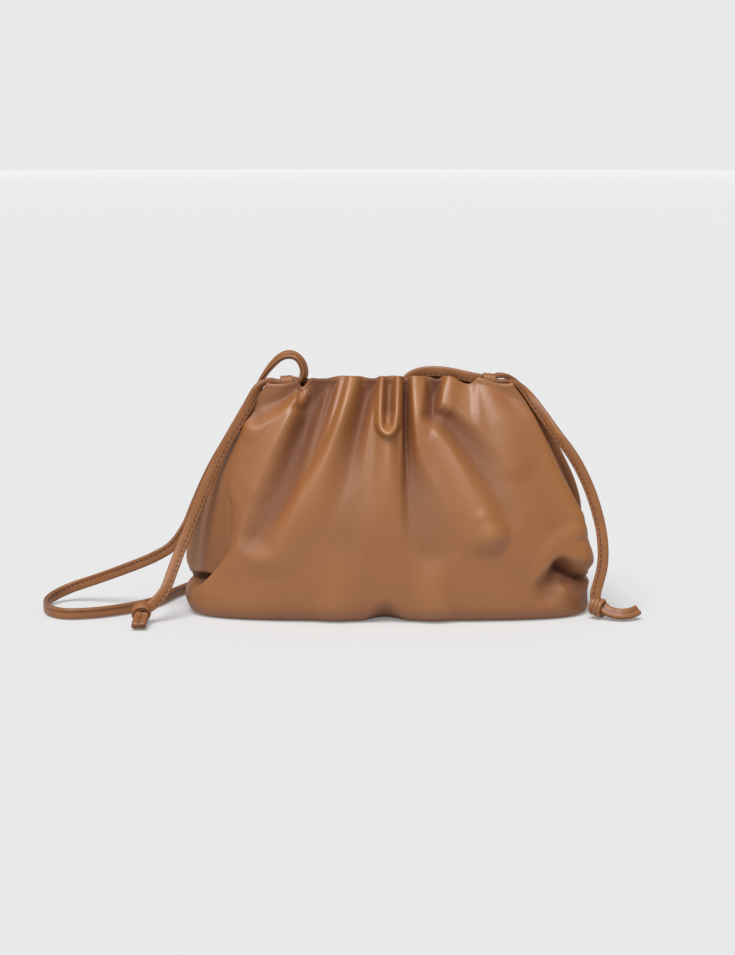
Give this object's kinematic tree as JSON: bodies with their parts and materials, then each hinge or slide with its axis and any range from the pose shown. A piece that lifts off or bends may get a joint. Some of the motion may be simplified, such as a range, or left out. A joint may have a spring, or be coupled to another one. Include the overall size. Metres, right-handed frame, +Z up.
{
  "type": "gathered crossbody bag",
  "caption": "Small soft leather crossbody bag: a hollow pouch gathered at its open mouth, with a flat strap, sliding knots and knotted loose ends.",
  "frame": {"origin": "on the floor under the middle of the pouch, which stands on its base", "axes": "+X to the right along the pouch's width, +Y to its back, +Z up"},
  "size_m": [0.3756, 0.1585, 0.1647],
  "materials": {
    "pouch_leather": "smooth tan leather with a soft sheen",
    "strap_leather": "folded and stitched tan leather, soft sheen"
  },
  "bodies": {
    "root": {"pouch": "pouch_leather", "shoulder_strap": "strap_leather", "left_strap_end": "strap_leather", "right_strap_end": "strap_leather", "mouth_cord": "strap_leather", "left_slide_knot": "strap_leather", "right_slide_knot": "strap_leather", "left_end_knot": "strap_leather", "right_end_knot": "strap_leather"}
  },
  "joints": []
}
